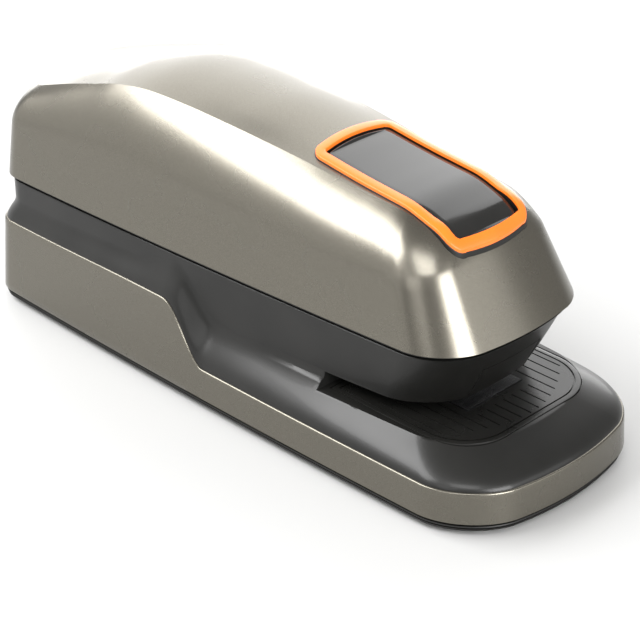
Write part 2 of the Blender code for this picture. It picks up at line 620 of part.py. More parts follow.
def driver():
    gap = TIP_R + 0.35
    ram = [(66.5, RAM_Z - 5.2), (72.9, RAM_Z - 5.2), (72.9, RAM_Z + 4.4), (66.5, RAM_Z + 4.4),
           (66.5, RAM_Z + gap), (71.4, RAM_Z + gap), (71.4, RAM_Z - gap), (66.5, RAM_Z - gap)]
    place("driver_ram", prism_y(ram, -6.0, 6.0), "steel", smooth=False)
    place("driver_blade", box(DRIVE_X - 0.5, DRIVE_X + 0.5, -6.2, 6.2, 38.6, RAM_Z - 5.5), "steel",
          smooth=False)
    guide = [(-9.6, 41), (9.6, 41), (9.6, 52), (18.2, 52), (18.2, 58), (9.6, 58), (9.6, 65),
             (-9.6, 65), (-9.6, 58), (-18.2, 58), (-18.2, 52), (-9.6, 52)]
    place("driver_guide", plate_x(guide, 73.3, 74.5), "steel", smooth=False)


# ---- Magazine -----------------------------------------------------------------------------------
def channel_points(half, wall, z0, z1):
    return [(-half, z0), (half, z0), (half, z1), (half - wall, z1), (half - wall, z0 + wall),
            (-half + wall, z0 + wall), (-half + wall, z1), (-half, z1)]


def magazine():
    place("magazine_guide", plate_x(channel_points(9.6, 1.0, 30.0, 40.0), 4.0, 66.0), "nylon",
          smooth=False)
    place("magazine_channel", plate_x(channel_points(7.9, 0.9, 31.3, 38.0), 6.0, 70.8), "steel",
          smooth=False)
    nose = place("magazine_nose", skin([housing_ring(z, 0.0) for z in (27.8, 31.0, 34.5, 38.3)]), "black")
    boolean(nose, cutter("nose_trim", box(-130, DRIVE_X + 1.6, -60, 60, 20, 60)))
    boolean(nose, cutter("nose_left", box(60, 120, 12.1, 60, 20, 60)))
    boolean(nose, cutter("nose_right", box(60, 120, -60, -12.1, 20, 60)))
    leg = STAPLE_CROWN / 2
    strip = [(-leg, 37.8), (-leg, 37.8 - STAPLE_LEG + 0.9), (-leg + WIRE, 37.8 - STAPLE_LEG + 0.9),
             (-leg + WIRE, 37.8 - WIRE), (leg - WIRE, 37.8 - WIRE),
             (leg - WIRE, 37.8 - STAPLE_LEG + 0.9), (leg, 37.8 - STAPLE_LEG + 0.9), (leg, 37.8)]
    place("staple_strip", plate_x(strip, 28.0, 70.6), "steel", smooth=False)
    place("staple_core", box(7.0, 70.6, -5.4, 5.4, 32.5, 36.8), "black", smooth=False)
    pusher = [(-6.6, 32.6), (-5.75, 32.6), (-5.75, 37.1), (5.75, 37.1), (5.75, 32.6), (6.6, 32.6),
              (6.6, 38.0), (-6.6, 38.0)]
    place("staple_pusher", plate_x(pusher, 20.0, 27.7), "nylon", smooth=False)


# ---- Button, latch and paper trigger --------------------------------------------------------------
def release():
    place("button_carrier", box(22.0, 38.0, -FRAME_Y, FRAME_Y, 74.1, 75.3), "nylon", smooth=False)
    place("button_spring", coil_z(30.0, 0.0, 4.0, 0.4, 75.6, 80.6, 3), "steel", (30, 0, 75.6))
    latch = [(48.5, 46), (52, 44.5), (60, 44.5), (73, 40.5), (75, 38.6), (78.5, 38.6), (78.5, 42),
             (62, 51.5), (53, 51.5), (52.3, 78.0), (48.8, 78.4)]
    plate = place("release_latch", prism_y(latch, 10.2, 11.8), "steel", (LATCH_AT[0], 0, LATCH_AT[1]),
                  smooth=False)
    boolean(plate, cutter("latch_bore", rod_y(*LATCH_AT, 1.8, 8, 14)))
    place("latch_pin", rod_y(*LATCH_AT, 1.5, 9.9, 18.2, 16), "steel", (LATCH_AT[0], 0, LATCH_AT[1]))
    trigger = [(50.9, 23.3), (53.0, 23.3), (54.6, 34.0), (54.0, 36.4), (50.0, 36.4), (49.4, 34.0)]
    lever = place("paper_trigger", prism_y(trigger, 13.0, 15.0), "nylon", (52, 0, 34), smooth=False)
    boolean(lever, cutter("trigger_bore", rod_y(*TRIGGER_AT, 1.3, 12, 16)))
    place("trigger_pin", rod_y(*TRIGGER_AT, 1.0, 12.2, 18.2, 12), "steel", (52, 0, 34))
    place("paper_switch", box(55.4, 64.0, 12.4, 18.2, 31.0, 37.0), "black", smooth=False)
    place("circuit_board", box(-80.0, 30.0, -16.0, 16.0, 4.6, 6.2), "board", smooth=False)


def power_inlet():
    """The round socket for the mains adapter, low in the middle of the rear."""
    inlet = place("dc_inlet", rod_x(0, INLET_Z, 4.8, -107.2, -93.0, 24), "black")
    boolean(inlet, cutter("inlet_bore", rod_x(0, INLET_Z, 2.8, -110, -96)))


def build():
    for obj in list(bpy.data.objects):
        bpy.data.objects.remove(obj)
    for maker in (bottom_pan, feet_and_screws, side_band, body_housing, top_cover, badge, deck, frames,
                  gears, crank, drive_lever, driver, magazine, release, power_inlet):
        maker()
    for obj in bpy.data.objects:
        obj.location.x -= CENTRE_X * MM


build()
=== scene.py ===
"""Looks of the compact electric stapler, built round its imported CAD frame.

Sizes here are in millimetres: +X to the nose, +Y to the left, +Z up. The axes are the frame's, but X
is measured from a point CENTRE_X behind the frame's origin.
"""
import functools
import json
import math

import bmesh
import bpy
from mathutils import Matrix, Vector
from mathutils.bvhtree import BVHTree
from mathutils.kdtree import KDTree


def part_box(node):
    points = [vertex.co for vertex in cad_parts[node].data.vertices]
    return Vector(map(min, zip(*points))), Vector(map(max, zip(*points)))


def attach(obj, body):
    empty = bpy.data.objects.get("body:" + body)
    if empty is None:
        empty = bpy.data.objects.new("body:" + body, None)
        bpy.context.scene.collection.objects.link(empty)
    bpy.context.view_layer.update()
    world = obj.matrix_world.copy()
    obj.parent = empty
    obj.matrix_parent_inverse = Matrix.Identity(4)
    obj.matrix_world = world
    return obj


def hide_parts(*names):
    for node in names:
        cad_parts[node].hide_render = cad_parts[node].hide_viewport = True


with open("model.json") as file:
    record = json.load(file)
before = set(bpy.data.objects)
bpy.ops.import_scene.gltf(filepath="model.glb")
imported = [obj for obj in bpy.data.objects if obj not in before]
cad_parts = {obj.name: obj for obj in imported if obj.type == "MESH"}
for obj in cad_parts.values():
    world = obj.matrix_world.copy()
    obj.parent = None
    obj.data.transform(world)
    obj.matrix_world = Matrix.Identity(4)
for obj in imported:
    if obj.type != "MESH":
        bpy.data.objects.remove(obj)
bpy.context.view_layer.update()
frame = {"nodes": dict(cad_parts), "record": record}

MM = 0.001
CENTRE_X = 1.5                  # the base's middle on this script's X axis, which is X = 0 in the frame


def node_box(node):
    """A CAD node's lowest and highest corners, in millimetres on this script's axes."""
    shift = Vector((CENTRE_X, 0, 0))
    return tuple(Vector(corner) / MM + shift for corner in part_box(node))


# ---- Driving dimensions --------------------------------------------------------------------------
BAND_LOW, BAND_HIGH = node_box("side_band")
BASE_REAR_X, BASE_FRONT_X = BAND_LOW.x, BAND_HIGH.x
BASE_REAR_W, BASE_FRONT_W, BASE_BOW = 39.35, 40.0, 2.0
BASE_REAR_R, BASE_FRONT_R, BASE_FRONT_BOW = 9.0, 16.7, 8.2
BAND_Z0, BAND_WALL, BAND_DRAFT = BAND_LOW.z, 1.6, 0.06
BAND_FRONT_Z, BAND_REAR_Z, BAND_CREST_Z = 14.5, 30.2, 32.0
STEP_X0, STEP_X1 = -20.0, -1.5
SEAM_Z, SEAM_RISE = 47.5, 0.01
SEAM_REAR_X, SEAM_FRONT_X = -103.6, 90.6
SEAM_REAR_W, SEAM_FRONT_W, SEAM_BOW = 37.0, 32.0, 1.6
COVER_WALL = 2.0
REAR_CROWN, BADGE_CROWN = 3.48, 1.9
DECK_Z, DECK_W, DECK_FRONT_X = 22.6, 32.3, 97.3
THROAT_TOP_Z, THROAT_X = 27.4, 40.5
BLADE_X = 72.0
NOSE_X = 76.5
BADGE_X0, BADGE_X1, BADGE_W, BADGE_R = 19.8, 76.4, 16.4, 4.6
RING_BAR, RING_PROUD = 3.0, 1.3
FRONT_BAR_SHARE = 0.72          # the front bar lies on a steep slope, so it is narrower in plan
CAP_GAP, CAP_DEPTH, CAP_RISE = 0.3, 4.2, 0.06
CAP_CROWN_SHARE = 0.3           # how much of the cover's crown the push cap takes
CAP_HOLLOW = 2.6                # most that the cap's underside rises, to clear the spring
INLET_Z, INLET_HOLE_R = 14.0, 5.2

CREASE_LINE = [(-101, 73.0), (-92.5, 75.7), (-79, 80.0), (-67, 83.4), (-57, 86.1), (-44, 88.0),
               (-28, 88.0), (-12, 87.1), (8, 85.5), (24, 83.9), (34, 82.6), (43, 81.6), (51, 80.9),
               (59, 80.0), (70, 76.5)]
SHOULDER_LINE = [(-102, 64.0), (-60, 65.0), (0, 65.0), (40, 63.5), (60, 64.5), (70, 67.0), (79, 69.5)]
CREASE_REAR_X, CREASE_FRONT_X = -99.6, 68.0
CREASE_REAR_W, CREASE_FRONT_W = 25.2, 16.6
SHOULDER_REAR_X, SHOULDER_FRONT_X = -102.3, 78.5
SHOULDER_REAR_W, SHOULDER_FRONT_W, SHOULDER_BOW = 34.7, 28.3, 2.4


# ---- Node materials ------------------------------------------------------------------------------
class Shader:
    """A small helper that builds one Principled material with linked nodes."""

    def __init__(self, name, colour, roughness, metallic=0.0, **sockets):
        self.mat = bpy.data.materials.new(name)
        self.mat.use_nodes = True
        self.tree = self.mat.node_tree
        self.bsdf = self.tree.nodes["Principled BSDF"]
        self.bsdf.inputs["Base Color"].default_value = (*colour, 1)
        self.bsdf.inputs["Roughness"].default_value = roughness
        self.bsdf.inputs["Metallic"].default_value = metallic
        for socket, value in sockets.items():
            self.bsdf.inputs[socket.replace("_", " ")].default_value = value
        self.coords = self.node("ShaderNodeTexCoord").outputs["Object"]
        self.height = None

    def node(self, kind, **settings):
        made = self.tree.nodes.new(kind)
        for key, value in settings.items():
            setattr(made, key, value)
        return made

    def link(self, output, socket):
        self.tree.links.new(output, socket)

    def noise(self, scale, detail=2.0, stretch=(1, 1, 1)):
        mapping = self.node("ShaderNodeMapping")
        mapping.inputs["Scale"].default_value = stretch
        self.link(self.coords, mapping.inputs["Vector"])
        noise = self.node("ShaderNodeTexNoise")
        noise.inputs["Scale"].default_value = scale
        noise.inputs["Detail"].default_value = detail
        self.link(mapping.outputs["Vector"], noise.inputs["Vector"])
        return noise.outputs["Fac"]

    def ramp(self, value, stops):
        ramp = self.node("ShaderNodeValToRGB")
        elements = ramp.color_ramp.elements
        elements[0].position, elements[0].color = stops[0][0], (*stops[0][1], 1)
        elements[1].position, elements[1].color = stops[-1][0], (*stops[-1][1], 1)
        for position, colour in stops[1:-1]:
            elements.new(position).color = (*colour, 1)
        self.link(value, ramp.inputs["Fac"])
        return ramp.outputs["Color"]

    def vary_colour(self, value, stops):
        self.link(self.ramp(value, stops), self.bsdf.inputs["Base Color"])
        return self

    def vary_roughness(self, value, low, high):
        spread = self.node("ShaderNodeMapRange")
        spread.inputs["To Min"].default_value = low
        spread.inputs["To Max"].default_value = high
        self.link(value, spread.inputs["Value"])
        self.link(spread.outputs["Result"], self.bsdf.inputs["Roughness"])
        return self

    def bump(self, value, distance, strength=1.0):
        bump = self.node("ShaderNodeBump")
        bump.inputs["Distance"].default_value = distance
        bump.inputs["Strength"].default_value = strength
        self.link(value, bump.inputs["Height"])
        if self.height:
            self.link(self.height, bump.inputs["Normal"])
        self.height = bump.outputs["Normal"]
        self.link(self.height, self.bsdf.inputs["Normal"])
        return self


def metallic_paint():
    """Warm taupe metallic paint: fine flakes, a soft satin lacquer and faint handling marks."""
    s = Shader("silver_metallic_paint", (0.15, 0.14, 0.116), 0.27, 0.95, Coat_Weight=0.10,
               Coat_Roughness=0.12)
    flakes = s.noise(5200.0, 1.0)
    s.vary_colour(flakes, [(0.30, (0.128, 0.119, 0.099)), (0.5, (0.150, 0.140, 0.117)),
                           (0.72, (0.180, 0.169, 0.142))])
    s.vary_roughness(s.noise(38.0, 4.0), 0.25, 0.30)
    s.bump(flakes, 0.000006, 0.25)
    return s.mat


def black_plastic(name, roughness, grain, coat=0.0):
    """Moulded black plastic with a fine spark-eroded grain."""
    s = Shader(name, (0.007, 0.007, 0.0065), roughness, Coat_Weight=coat, Coat_Roughness=0.08,
               Specular_IOR_Level=0.32)
    s.vary_colour(s.noise(55.0, 3.0), [(0.3, (0.0055, 0.0055, 0.005)), (0.7, (0.009, 0.0088, 0.008))])
    s.vary_roughness(s.noise(70.0, 4.0), roughness - 0.03, roughness + 0.05)
    s.bump(s.noise(2600.0, 2.0), grain, 0.6)
    return s.mat


def orange_plastic():
    s = Shader("orange_plastic", (0.82, 0.155, 0.008), 0.32, Coat_Weight=0.15, Coat_Roughness=0.15)
    s.vary_colour(s.noise(60.0, 3.0), [(0.3, (0.78, 0.145, 0.007)), (0.7, (0.86, 0.170, 0.010))])
    s.vary_roughness(s.noise(90.0, 3.0), 0.28, 0.38)
    s.bump(s.noise(2400.0, 2.0), 0.000010, 0.5)
    return s.mat


def steel(name, colour, roughness, stretch=(1, 40, 40)):
    """Bare metal with fine lines from rolling or grinding."""
    s = Shader(name, colour, roughness, 1.0)
    lines = s.noise(140.0, 3.0, stretch)
    s.vary_colour(s.noise(45.0, 3.0), [(0.3, tuple(0.86 * c for c in colour)), (0.7, colour)])
    s.vary_roughness(lines, roughness - 0.07, roughness + 0.1)
    s.bump(lines, 0.00002, 0.35)
    return s.mat


def plain_plastic(name, dark, light, roughness):
    s = Shader(name, light, roughness)
    s.vary_colour(s.noise(90.0, 4.0), [(0.3, dark), (0.7, light)])
    s.vary_roughness(s.noise(60.0, 3.0), roughness - 0.05, roughness + 0.06)
    s.bump(s.noise(1500.0, 2.0), 0.00002, 0.5)
    return s.mat


def make_materials():
    return {
        "silver_paint": metallic_paint(),
        "black_body": black_plastic("black_body_plastic", 0.33, 0.000008, 0.08),
        "black_base": black_plastic("black_base_plastic", 0.42, 0.00002),
        "black_deck": black_plastic("black_deck_plastic", 0.27, 0.000006, 0.05),
        "gloss_black": black_plastic("gloss_black_plastic", 0.15, 0.000002, 0.35),
        "orange_trim": orange_plastic(),
        "steel_bright": steel("bright_steel", (0.72, 0.72, 0.74), 0.20),
        "steel_sheet": steel("sheet_steel", (0.52, 0.53, 0.54), 0.34),
        "staple_wire": steel("staple_wire", (0.74, 0.74, 0.76), 0.24, (60, 1, 1)),
        "nylon_natural": plain_plastic("natural_nylon", (0.58, 0.55, 0.46), (0.70, 0.67, 0.58), 0.45),
        "brass_gear": steel("turned_brass", (0.78, 0.58, 0.27), 0.26),
        "motor_can": steel("plated_can", (0.55, 0.55, 0.57), 0.30),
        "green_board": plain_plastic("solder_mask", (0.012, 0.10, 0.035), (0.02, 0.15, 0.05), 0.35),
        "rubber_foot": plain_plastic("foot_rubber", (0.018, 0.018, 0.018), (0.03, 0.03, 0.03), 0.82),
    }


MATERIALS = make_materials()


# ---- Mesh helpers --------------------------------------------------------------------------------
def make_object(name, bm, slot=None, sharp=38):
    bmesh.ops.recalc_face_normals(bm, faces=bm.faces)
    bmesh.ops.translate(bm, vec=(-CENTRE_X, 0, 0), verts=bm.verts)
    bmesh.ops.scale(bm, vec=(MM, MM, MM), verts=bm.verts)
    mesh = bpy.data.meshes.new(name)
    bm.to_mesh(mesh)
    bm.free()
    mesh.shade_smooth()
    mesh.set_sharp_from_angle(angle=math.radians(sharp))
    obj = bpy.data.objects.new(name, mesh)
    bpy.context.scene.collection.objects.link(obj)
    if slot:
        obj.data.materials.append(MATERIALS[slot])
    return obj


def add_piece(obj, body, slot, *nodes):
    """Hand a finished piece to the frame: the body it rides on, and what it stands for (the nodes it
    hides); the slot argument, its finish, is not used.
    """
    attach(obj, body)
    if nodes:
        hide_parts(*nodes)
    return obj


def settle(obj, sharp=38):
    """Make the modifiers' result the object's own mesh."""
    result = bpy.data.meshes.new_from_object(
        obj.evaluated_get(bpy.context.evaluated_depsgraph_get()))
    obj.modifiers.clear()
    obj.data = result
    result.shade_smooth()
    result.set_sharp_from_angle(angle=math.radians(sharp))
    return obj


def cut_with(obj, tool, operation="DIFFERENCE"):
    """One Boolean with a tool object, which is then removed."""
    mod = obj.modifiers.new("cut", "BOOLEAN")
    mod.operation = operation
    mod.object = tool
    mod.solver = "EXACT"
    settle(obj)
    bpy.data.objects.remove(tool)


def cut(obj, bm, operation="DIFFERENCE"):
    """One Boolean with a throwaway tool."""
    cut_with(obj, make_object("cut_tool", bm), operation)


def soften(obj, width, segments=2, angle=40):
    """A small moulded radius on every sharp edge."""
    mod = obj.modifiers.new("soften", "BEVEL")
    mod.width = width * MM
    mod.segments = segments
    mod.limit_method = "ANGLE"
    mod.angle_limit = math.radians(angle)
    mod.use_clamp_overlap = True
    mod.miter_outer = "MITER_ARC"
    mod.harden_normals = False
    settle(obj)


def quads(bm, low, high):
    for i in range(len(low)):
        j = (i + 1) % len(low)
        bm.faces.new((low[i], low[j], high[j], high[i]))


def skin(rings, capped=True):
    """Join rings of equally many points with quads; capped closes both ends, else they meet."""
    bm = bmesh.new()
    rows = [[bm.verts.new(p) for p in ring] for ring in rings]
    for low, high in zip(rows, rows[1:]):
        quads(bm, low, high)
    if capped:
        bm.faces.new(reversed(rows[0]))
        bm.faces.new(rows[-1])
    else:
        quads(bm, rows[-1], rows[0])
    return bm


def box(x0, x1, y0, y1, z0, z1):
    low = [(x0, y0, z0), (x1, y0, z0), (x1, y1, z0), (x0, y1, z0)]
    return skin([low, [(x, y, z1) for x, y, _ in low]])


def circle(cx, cy, radius, sides):
    return [(cx + radius * math.cos(2 * math.pi * k / sides),
             cy + radius * math.sin(2 * math.pi * k / sides)) for k in range(sides)]


# ---- The stapler's outlines ----------------------------------------------------------------------
def smooth_step(value):
    t = min(max(value, 0.0), 1.0)
    return t * t * (3 - 2 * t)


def along(line, x):
    """Height on a line of (x, z) points, as a smooth curve through them."""
    if x <= line[0][0]:
        return line[0][1]
    for k in range(len(line) - 1):
        (x0, z0), (x1, z1) = line[k], line[k + 1]
        if x <= x1:
            before = line[k - 1] if k else line[k]
            after = line[k + 2] if k + 2 < len(line) else line[k + 1]
            slope0 = (z1 - before[1]) / (x1 - before[0])
            slope1 = (after[1] - z0) / (after[0] - x0)
            t, span = (x - x0) / (x1 - x0), x1 - x0
            return ((2 * t**3 - 3 * t**2 + 1) * z0 + (t**3 - 2 * t**2 + t) * span * slope0
                    + (3 * t**2 - 2 * t**3) * z1 + (t**3 - t**2) * span * slope1)
    return line[-1][1]


REAR_STATION, FRONT_STATION, STATION_COUNT = -84.0, 48.0, 88
STATIONS = [REAR_STATION + (FRONT_STATION - REAR_STATION) * k / STATION_COUNT
            for k in range(STATION_COUNT + 1)]


def corner_arc(start, corner, end, count):
    """A round corner between two points, as a conic arc with the corner as its control."""
    points = []
    for k in range(count + 1):
        t = k / count
        a, b, c = (1 - t) ** 2, 2 * t * (1 - t) * math.sqrt(0.5), t * t
        points.append(((a * start[0] + b * corner[0] + c * end[0]) / (a + b + c),
                       (a * start[1] + b * corner[1] + c * end[1]) / (a + b + c)))
    return points


def plan(rear_x, front_x, rear_w, front_w, bow, rear_r, front_r, front_bow, rear_bow=0.4):
    """A closed plan outline. Every outline has its points in the same order along it."""
    length = front_x - rear_x

    def half_width(x):
        u = (x - rear_x) / length
        return rear_w + (front_w - rear_w) * u + bow * 4 * u * (1 - u)

    def front_at(y):
        return front_x - front_bow * (y / front_w) ** 2

    def rear_at(y):
        return rear_x + rear_bow * (y / rear_w) ** 2

    rear_y, inner_y = rear_w - rear_r, front_w - front_r
    side_x = front_at(front_w) - front_r
    turn_x = rear_at(rear_w) + rear_r
    half = [(rear_at(rear_y * k / 8), rear_y * k / 8) for k in range(8)]
    half += corner_arc((rear_at(rear_y), rear_y), (rear_at(rear_w), half_width(rear_x)),
                       (turn_x, half_width(turn_x)), 12)
    half += [(between(turn_x, REAR_STATION, k / 4), half_width(between(turn_x, REAR_STATION, k / 4)))
             for k in range(1, 4)]
    half += [(x, half_width(x)) for x in STATIONS]
    half += [(FRONT_STATION + (side_x - FRONT_STATION) * k / 6,
              half_width(FRONT_STATION + (side_x - FRONT_STATION) * k / 6)) for k in range(1, 6)]
    half += corner_arc((side_x, half_width(side_x)), (front_at(front_w), half_width(side_x + front_r)),
                       (front_at(inner_y), inner_y), 18)
    half += [(front_at(inner_y * k / 8), inner_y * k / 8) for k in range(7, -1, -1)]
    return half + [(x, -y) for x, y in reversed(half[1:-1])]


def band_top(x):
    """Height of the side band's upper edge: high at the rear, low at the nose."""
    rear = BAND_REAR_Z + (BAND_CREST_Z - BAND_REAR_Z) * smooth_step((x + 107) / 85)
    return rear + (BAND_FRONT_Z - rear) * smooth_step((x - STEP_X0) / (STEP_X1 - STEP_X0))


def base_plan(inset):
    return plan(BASE_REAR_X + inset, BASE_FRONT_X - inset, BASE_REAR_W - inset, BASE_FRONT_W - inset,
                BASE_BOW, BASE_REAR_R - 0.5 * inset, BASE_FRONT_R - inset, BASE_FRONT_BOW)


def between(a, b, share):
    return a + (b - a) * share


def crease_half_width(x):
    share = (x - CREASE_REAR_X) / (CREASE_FRONT_X - CREASE_REAR_X)
    return between(CREASE_REAR_W, CREASE_FRONT_W, share)


def top_height(x, y):
    """The cover's top: crowned at the rear, flatter round the badge."""
    crown = between(REAR_CROWN, BADGE_CROWN, smooth_step((x + 8.0) / 34.0))
    return along(CREASE_LINE, x) + crown * (1 - min(abs(y) / crease_half_width(x), 1.0) ** 2)


# ---- Cover ---------------------------------------------------------------------------------------
def cover_rings(inset, lift):
    """Rings of the cover from its seam, up its sides and over its shoulder to the crease."""
    seam = plan(SEAM_REAR_X + inset, SEAM_FRONT_X - inset, SEAM_REAR_W - inset,
                SEAM_FRONT_W - inset, SEAM_BOW, 9.2 - 0.5 * inset, 13.5 - 0.5 * inset, 4.8)
    shoulder = plan(SHOULDER_REAR_X + inset, SHOULDER_FRONT_X - inset, SHOULDER_REAR_W - inset,
                    SHOULDER_FRONT_W - inset, SHOULDER_BOW, 8.0, 11.0, 3.6)
    narrow = 0.7 * inset
    crease = plan(CREASE_REAR_X + narrow, CREASE_FRONT_X - narrow, CREASE_REAR_W - narrow,
                  CREASE_FRONT_W - narrow, 0.3, 5.0, 6.0, 3.0, 2.2)
    tops = [along(SHOULDER_LINE, x) + lift for x, _ in shoulder]
    rings = []
    for share in (0.0, 0.1, 0.25, 0.4, 0.55, 0.7, 0.85, 1.0):
        ring = []
        for a, b, z in zip(seam, shoulder, tops):
            ring.append((between(a[0], b[0], share), between(a[1], b[1], share),
                         between(SEAM_Z + SEAM_RISE * a[0], z, share)))
        rings.append(ring)
    for step in range(1, 15):
        t = step / 14
        near, mid, far = (1 - t) ** 2, 2 * t * (1 - t), t * t
        ring = []
        for a, b, z in zip(shoulder, crease, tops):
            crest = top_height(*b) + lift
            toward_nose = smooth_step((a[0] - 58.0) / 16.0)
            in_share, up_share = 0.115 + 0.4 * toward_nose, 0.58 + 0.27 * toward_nose
            ring.append((near * a[0] + mid * between(a[0], b[0], in_share) + far * b[0],
                         near * a[1] + mid * between(a[1], b[1], in_share) + far * b[1],
                         near * z + mid * between(z, crest, up_share) + far * crest))
        rings.append(ring)
    return rings


def close_across(bm, row, strips, level_at):
    """Close a ring with a grid between its two halves; level_at gives each new point's height."""
    count = len(row)
    half = count // 2
    before = [row[0]]
    for i in range(1, half):
        left, right = row[i], row[count - i]
        line = [left]
        for s in range(1, strips):
            y = between(left.co.y, right.co.y, s / strips)
            line.append(bm.verts.new((left.co.x, y, level_at(left.co, y))))
        line.append(right)
        if len(before) == 1:
            for a, b in zip(line, line[1:]):
                bm.faces.new((before[0], a, b))
        else:
            for k in range(strips):
                bm.faces.new((before[k], line[k], line[k + 1], before[k + 1]))
        before = line
    for a, b in zip(before, before[1:]):
        bm.faces.new((a, row[half], b))


def cover_form(inset, lift, low_z=None):
    """The cover's solid form, closed underneath."""
    bm = bmesh.new()
    rings = cover_rings(inset, lift)
    if low_z is not None:
        rings.insert(0, [(x, y, low_z) for x, y, _ in rings[0]])
    rows = [[bm.verts.new(p) for p in ring] for ring in rings]
    for low, high in zip(rows, rows[1:]):
        quads(bm, low, high)
    bm.faces.new(rows[0])
    close_across(bm, rows[-1], 20, lambda left, y: top_height(left.x, y) + lift)
    return bm


def badge_outline(grow):
    """The badge's rounded outline in plan, grown sideways: a closed list of (x, y)."""
    x0, half, r = BADGE_X0 - grow, BADGE_W + grow, max(BADGE_R + grow, 1.2)
    x1 = BADGE_X1 + grow * (FRONT_BAR_SHARE if grow < 0 else 1.0)
    rear_bow, front_bow = 0.8, 1.2
    across, corner_points, side_points = 8, 10, 26
    points = [(x0 - rear_bow * (1 - (k / across) ** 2), (half - r) * k / across)
              for k in range(across)]
    points += corner_arc((x0, half - r), (x0, half), (x0 + r, half), corner_points)
    points += [(between(x0 + r, x1 - r, k / side_points), half) for k in range(1, side_points)]
    points += corner_arc((x1 - r, half), (x1, half), (x1, half - r), corner_points)
    points += [(x1 + front_bow * (1 - (k / across) ** 2), (half - r) * k / across)
               for k in range(across - 1, -1, -1)]
    return points + [(x, -y) for x, y in reversed(points[1:-1])]


def prism(outline, z0, z1):
    return skin([[(x, y, z0) for x, y in outline], [(x, y, z1) for x, y in outline]])


class Surface:
    """Heights on the cover's outside, read from its solid form."""

    def __init__(self):
        form = cover_form(0.0, 0.0, 40.0)
        bmesh.ops.recalc_face_normals(form, faces=form.faces)
        self.tree = BVHTree.FromBMesh(form)

    def height(self, x, y):
        hit = self.tree.ray_cast(Vector((x, y, 120.0)), Vector((0, 0, -1)))[0]
        return hit.z if hit else 60.0


surface = Surface()


def mark_crease(cover):
    """Keep the edge where the shoulder meets the top crisp."""
    crease = cover_rings(0.0, 0.0)[-1]
    tree = KDTree(len(crease))
    for i, (x, y, z) in enumerate(crease):
        tree.insert(Vector((x - CENTRE_X, y, z)) * MM, i)
    tree.balance()
    close = 0.03 * MM
    on_crease = [tree.find(vertex.co)[2] < close for vertex in cover.data.vertices]
    for edge in cover.data.edges:
        if on_crease[edge.vertices[0]] and on_crease[edge.vertices[1]]:
            edge.use_edge_sharp = True


def build_cover():
    cover = make_object("cover_shell", cover_form(0.0, 0.0), "silver_paint", 24)
    cut(cover, cover_form(COVER_WALL, -COVER_WALL - 0.2, 40.0))
    cut(cover, prism(badge_outline(0.25), 60.0, 100.0))
    settle(cover, 24)
    mark_crease(cover)
    return add_piece(cover, "root", "silver_paint", "top_cover")


def draped_ring(outline, lift):
    """Points over an outline, lifted straight off the cover."""
    return [(x, y, surface.height(x, y) + lift) for x, y in outline]


def ring_lift(x):
    """The surround stands up to 1 mm higher at the front, where the cover falls away from it."""
    return smooth_step((x - 64.0) / 10.0)


def swept_bar(profile):
    """A bar swept round the badge: profile points are (growth, lift) over the cover."""
    rings = []
    for grow, lift in profile:
        rings.append([(x, y, surface.height(x, y) + lift + (ring_lift(x) if lift > 0 else 0.0))
                      for x, y in badge_outline(grow)])
    return skin(rings, capped=False)


def build_ring():
    """The orange surround: a crisp flat bar round the badge, on a black plinth whose dark stands in for
    the shadow gap round the bar (painted shade).
    """
    edge, low = 0.22, 0.30
    bar = swept_bar([(0.0, low), (0.0, RING_PROUD - edge), (-0.3 * edge, RING_PROUD - 0.3 * edge),
                     (-edge, RING_PROUD), (-RING_BAR + edge, RING_PROUD),
                     (-RING_BAR + 0.3 * edge, RING_PROUD - 0.3 * edge),
                     (-RING_BAR, RING_PROUD - edge), (-RING_BAR, low)])
    add_piece(make_object("ring_surround", bar, "orange_trim", 50), "root", "orange_trim",
              "badge_ring")
    # The black plinth fills the cover's cut-out round the bar. Its dark is painted shade for the shadow
    # gap under the ring's edge.
    top, inner = low + 0.02, -RING_BAR + 0.2
    plinth = swept_bar([(0.18, -2.6), (0.18, low - 0.1), (0.0, top), (inner, top), (inner, -2.6)])
    return add_piece(make_object("ring_shade_plinth", plinth, "black_base", 40), "root", "black_base")


def build_button():
    """The glossy push cap: nearly flat across, with a soft edge, following the cover's bend."""
    outer = -RING_BAR - CAP_GAP
    profile = [(outer, -CAP_DEPTH), (outer, -0.35), (outer - 0.12, -0.12), (outer - 0.4, 0.0),
               (outer - 0.8, CAP_RISE)]
    bm = bmesh.new()
    rows = [[bm.verts.new(p) for p in draped_ring(badge_outline(grow), lift)]
            for grow, lift in profile]
    for low, high in zip(rows, rows[1:]):
        quads(bm, low, high)

    def face_level(left, y, lift):
        return between(left.z, surface.height(left.x, y) + lift, CAP_CROWN_SHARE)

    def underside_level(left, y):
        level = face_level(left, y, -CAP_DEPTH)
        return max(level, min(clear_of_spring, level + CAP_HOLLOW))

    clear_of_spring = node_box("button_spring")[1].z + 0.05
    close_across(bm, rows[-1], 14, lambda left, y: face_level(left, y, CAP_RISE))
    close_across(bm, rows[0], 14, underside_level)
    return add_piece(make_object("button_cap", bm, "gloss_black", 50), "button", "gloss_black",
                     "release_button")


# ---- Base band, body, pan ------------------------------------------------------------------------
def inlet_hole(front_x):
    """The round hole for the power socket, cut in from behind the rear wall."""
    return skin([[(x, y, z) for y, z in circle(0, INLET_Z, INLET_HOLE_R, 48)]
                 for x in (-120, front_x)])


